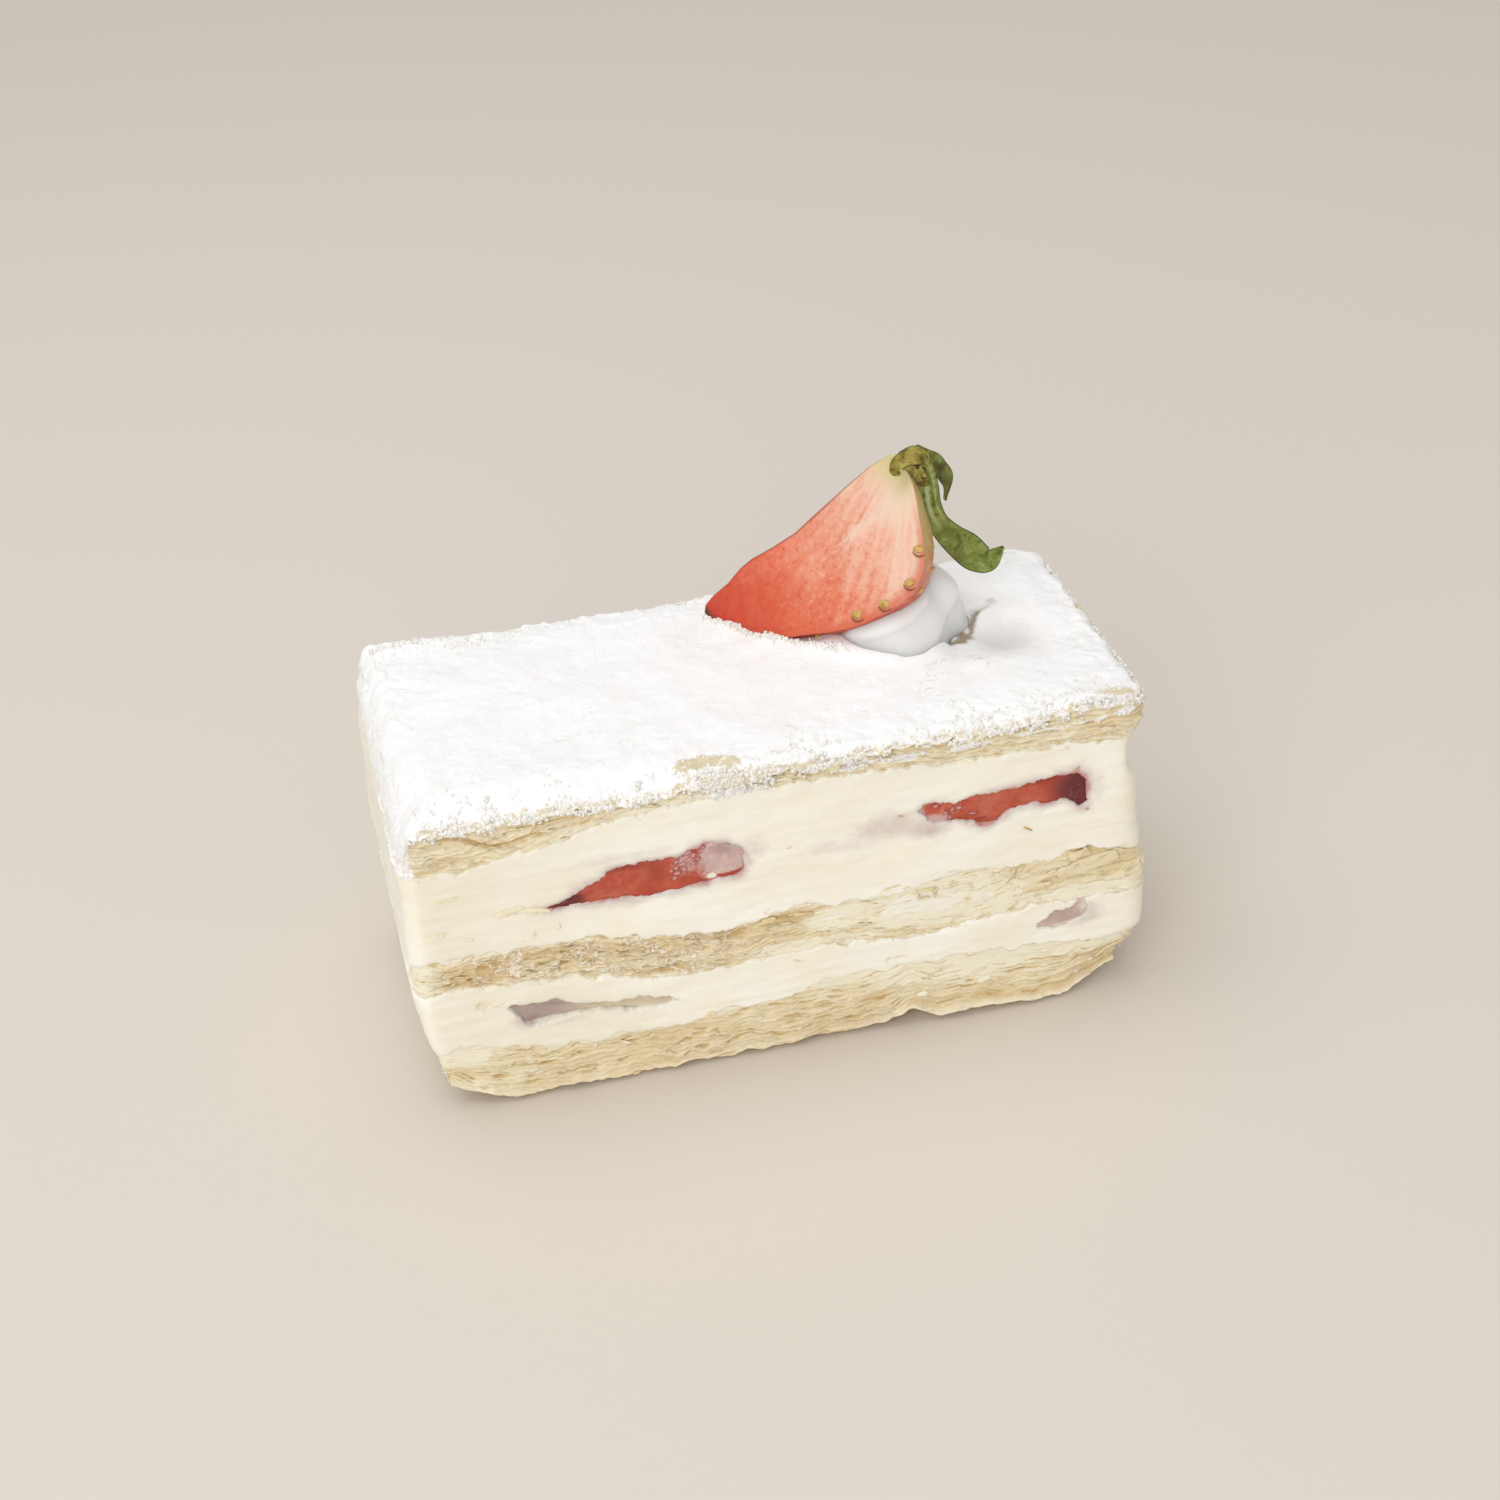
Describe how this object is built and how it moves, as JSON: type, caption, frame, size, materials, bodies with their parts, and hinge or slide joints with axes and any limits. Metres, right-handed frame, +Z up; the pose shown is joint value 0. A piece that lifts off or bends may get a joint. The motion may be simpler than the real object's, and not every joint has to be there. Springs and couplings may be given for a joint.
{
  "type": "mille feuille slice",
  "caption": "Rectangular strawberry mille feuille slice: flaky pastry sheets, cream with halved strawberries, sugared top with a quarter strawberry on a cream swirl.",
  "frame": {"origin": "centre of the slice's bounding box seen from above, on the surface that it rests on", "axes": "+X along the slice's length, +Y from the cut face seen in the picture towards the back, +Z up"},
  "size_m": [0.111, 0.0519, 0.0773],
  "materials": {
    "pastry": "dry, flaky baked pastry",
    "cream": "smooth ivory cream, faint sheen",
    "sugared_pastry": "matt icing sugar over pastry",
    "strawberry": "wet cut strawberry",
    "whipped_cream": "smooth white whipped cream",
    "leaf": "thin green leaf"
  },
  "bodies": {
    "root": {"base_pastry": "pastry", "lower_cream": "cream", "middle_pastry": "pastry", "upper_cream": "cream", "top_pastry": "sugared_pastry", "berry_front_left": "strawberry", "berry_front_right": "strawberry", "berry_low_left": "strawberry", "berry_low_right": "strawberry", "berry_back_left": "strawberry", "berry_back_right": "strawberry", "berry_back_low": "strawberry", "berry_quarter": "strawberry", "cream_swirl": "whipped_cream", "leaf_cap": "leaf", "leaf_long": "leaf", "leaf_short": "leaf"}
  },
  "joints": []
}
